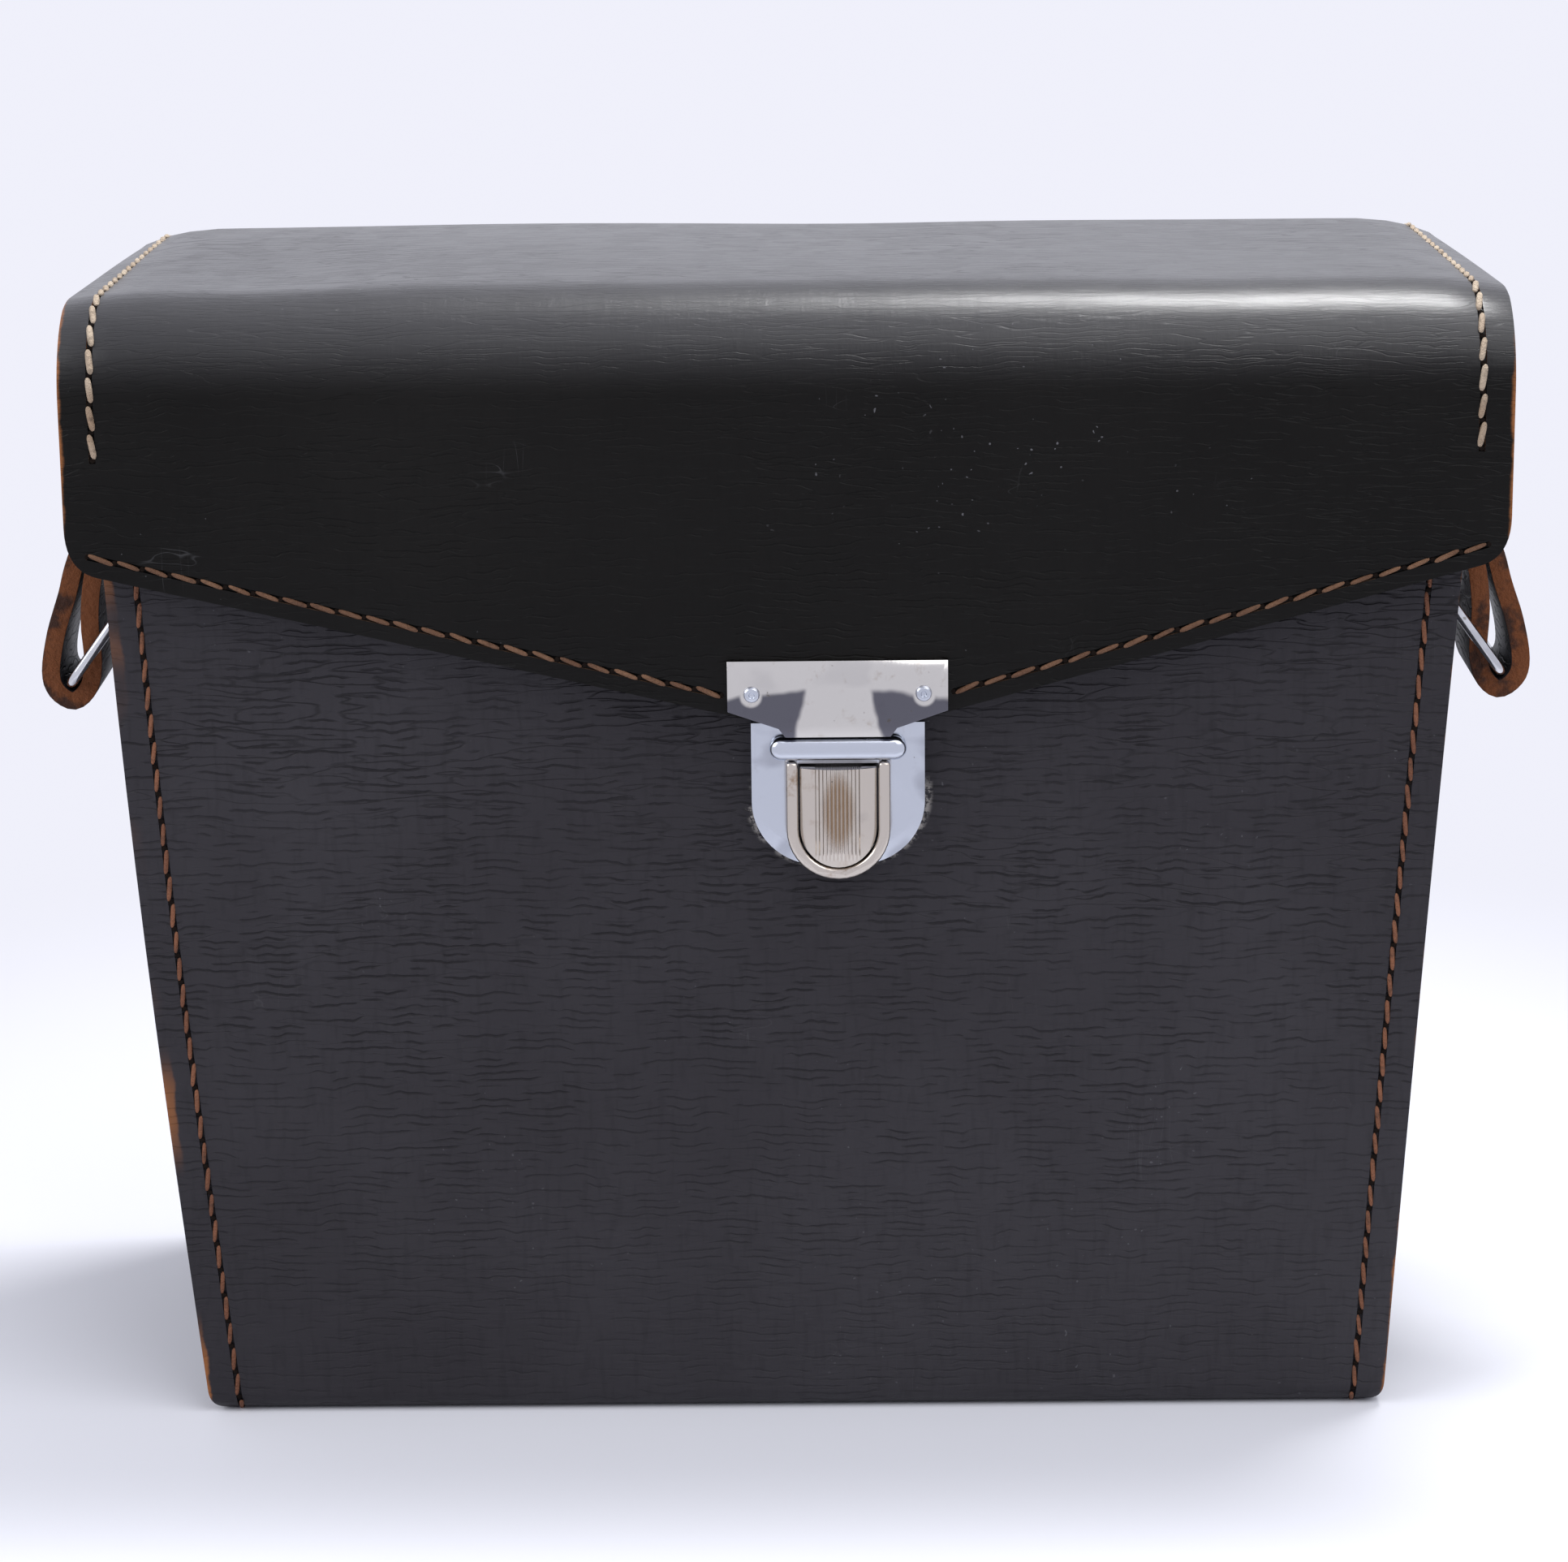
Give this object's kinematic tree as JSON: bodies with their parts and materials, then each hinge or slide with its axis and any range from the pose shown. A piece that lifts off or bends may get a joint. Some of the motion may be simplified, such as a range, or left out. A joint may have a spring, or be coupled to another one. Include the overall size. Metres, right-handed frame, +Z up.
{
  "type": "leather ever ready case",
  "caption": "Hard leather carrying case for a folding camera: tapered stitched body, hinged lid with V flap, push-button tuck lock, and a strap loop with wire ring on each side.",
  "frame": {"origin": "centre of the flat underside of the body", "axes": "+Z up from the base to the lid, front with the lock faces -Y, +X to the right as seen from the front"},
  "size_m": [0.211, 0.0825, 0.1593],
  "materials": {
    "body_leather": "satin blue-black cowhide, fine horizontal cracks, worn tan edges",
    "lid_leather": "glossy black grained cowhide with scratches and dust",
    "loop_leather": "black outer face, rough brown cut edges",
    "tan_thread": "waxed linen thread, orange-brown",
    "pale_thread": "waxed linen thread, cream turning tan",
    "board": "grey-brown fibreboard stiffener",
    "lining": "short dark red plush",
    "lock_chrome": "bluish chrome, lightly scratched",
    "lock_nickel": "warm worn nickel showing brass on the ribs",
    "lock_steel": "plain spring steel",
    "ring_chrome": "polished nickel wire"
  },
  "bodies": {
    "case": {"back_board": "board", "base_board": "board", "body_seam_thread_left": "tan_thread", "body_seam_thread_right": "tan_thread", "body_wrap": "body_leather", "front_board": "board", "hinge_strip": "body_leather", "hinge_thread_lower": "tan_thread", "lining_back": "lining", "lining_base": "lining", "lining_front": "lining", "lining_side_left": "lining", "lining_side_right": "lining", "lock_back_plate": "lock_steel", "lock_bar": "lock_chrome", "lock_base_plate": "lock_chrome", "lock_frame": "lock_nickel", "lock_spring": "lock_steel", "loop_inner_leg_left": "loop_leather", "loop_inner_leg_right": "loop_leather", "loop_outer_leg_left": "loop_leather", "loop_outer_leg_right": "loop_leather", "loop_rivet_left": "ring_chrome", "loop_rivet_right": "ring_chrome", "loop_washer_left": "ring_chrome", "loop_washer_right": "ring_chrome", "side_gusset_left": "body_leather", "side_gusset_right": "body_leather"},
    "lid": {"lid_wrap": "lid_leather", "lid_cheek_left": "lid_leather", "lid_cheek_right": "lid_leather", "lid_seam_thread_left": "pale_thread", "lid_seam_thread_right": "pale_thread", "flap_facing": "lid_leather", "flap_edge_thread_left": "tan_thread", "flap_edge_thread_right": "tan_thread", "lining_lid": "lining", "hinge_thread_upper": "tan_thread", "strike_plate": "lock_nickel", "strike_rivet_left": "lock_chrome", "strike_rivet_right": "lock_chrome", "strike_washer_left": "ring_chrome", "strike_washer_right": "ring_chrome"},
    "lock_button": {"lock_button": "lock_nickel", "lock_latch": "lock_steel"},
    "loop_left": {"strap_loop_left": "loop_leather"},
    "ring_left": {"strap_ring_left": "ring_chrome"},
    "loop_right": {"strap_loop_right": "loop_leather"},
    "ring_right": {"strap_ring_right": "ring_chrome"}
  },
  "joints": [
    {"name": "lid_hinge", "type": "hinge", "parent": "case", "child": "lid", "pos_m": [0, 0.0381, 0.1341], "axis": [-1, 0, 0], "range_deg": [0, 165], "deforming": ["hinge_strip"]},
    {"name": "button_press", "type": "slide", "parent": "case", "child": "lock_button", "axis": [0, 1, 0], "range_m": [0, 0.0014], "stiffness_N_per_m": 700, "springref_m": -0.0007, "deforming": ["lock_spring"]},
    {"name": "loop_flex_left", "type": "hinge", "parent": "case", "child": "loop_left", "pos_m": [-0.09948, 0, 0.12215], "axis": [0, 1, 0], "range_deg": [0, 60], "stiffness_Nm_per_rad": 0.02},
    {"name": "ring_swing_left", "type": "hinge", "parent": "loop_left", "child": "ring_left", "pos_m": [-0.10138, 0, 0.0997], "axis": [0, -1, 0], "range_deg": [-8, 9]},
    {"name": "loop_flex_right", "type": "hinge", "parent": "case", "child": "loop_right", "pos_m": [0.09948, 0, 0.12215], "axis": [0, -1, 0], "range_deg": [0, 60], "stiffness_Nm_per_rad": 0.02},
    {"name": "ring_swing_right", "type": "hinge", "parent": "loop_right", "child": "ring_right", "pos_m": [0.10138, 0, 0.0997], "axis": [0, 1, 0], "range_deg": [-8, 9]}
  ]
}
